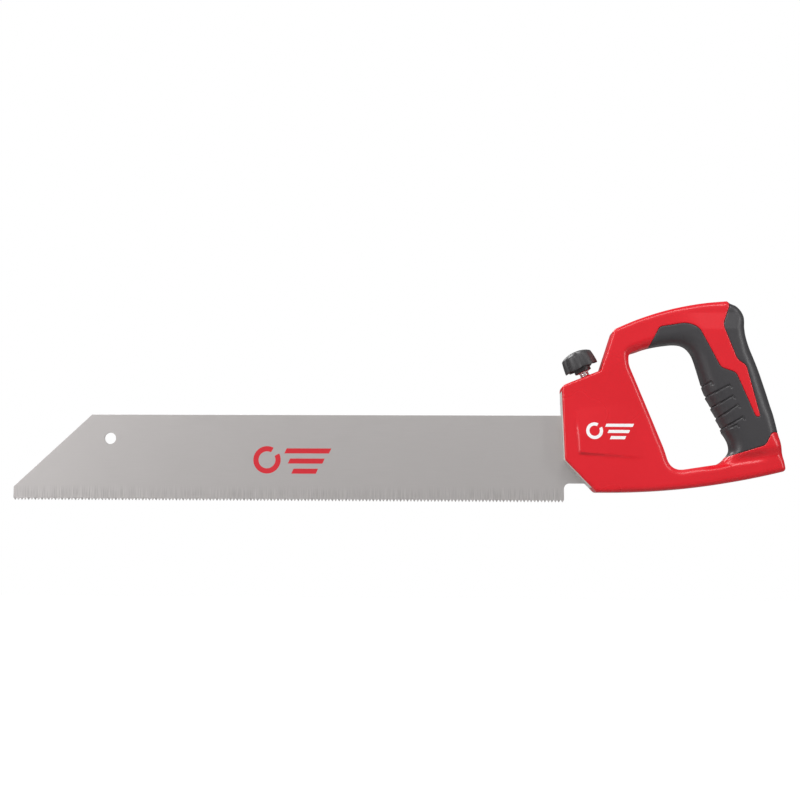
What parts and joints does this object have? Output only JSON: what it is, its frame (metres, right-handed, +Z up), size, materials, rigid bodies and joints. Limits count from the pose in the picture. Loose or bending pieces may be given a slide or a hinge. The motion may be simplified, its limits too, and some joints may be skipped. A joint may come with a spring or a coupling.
{
  "type": "plastic pipe saw",
  "caption": "Hand saw for plastic pipe: long fine-toothed blade held in a red pistol-grip handle with a rubber grip and a tool-free clamp knob.",
  "frame": {"origin": "bottom centre of the bounding box, level with the tooth tips", "axes": "+X from the blade's tip to the back of the grip, +Y across the blade's thickness to the saw's right side, +Z up from the teeth"},
  "size_m": [0.6356, 0.03, 0.1657],
  "materials": {
    "casing": "satin",
    "grip": "matt",
    "blade": "ground and lacquered",
    "cheek": "as cast and machined",
    "knob": "fine texture",
    "hardware": "zinc plated"
  },
  "bodies": {
    "handle": {"casing_left": "casing", "casing_right": "casing", "grip_left": "grip", "grip_right": "grip", "cheek_left": "cheek", "cheek_right": "cheek", "locating_pin_lower": "hardware", "locating_pin_upper": "hardware", "clamp_nut": "hardware", "casing_screw_1": "hardware", "casing_screw_2": "hardware", "casing_screw_3": "hardware", "casing_screw_4": "hardware", "casing_screw_5": "hardware", "casing_screw_6": "hardware"},
    "blade": {"blade": "blade"},
    "clamp_foot": {"clamp_foot": "hardware"},
    "knob": {"clamp_knob": "knob", "clamp_stud": "hardware"}
  },
  "joints": [
    {"name": "clamp_foot_travel", "type": "slide", "parent": "handle", "child": "clamp_foot", "axis": [-0.4067, 0, 0.9135], "range_m": [0, 0.006]},
    {"name": "knob_turn", "type": "hinge", "parent": "clamp_foot", "child": "knob", "pos_m": [0.15805, 0, 0.1036], "axis": [-0.4067, 0, 0.9135], "range_deg": [0, 1729]},
    {"name": "blade_slide", "type": "slide", "parent": "handle", "child": "blade", "axis": [-1, 0, 0], "range_m": [0, 0.06]}
  ],
  "couplings": [
    {"joint": "knob_turn", "follows": "clamp_foot_travel", "rad_per_m": 5026.5}
  ]
}
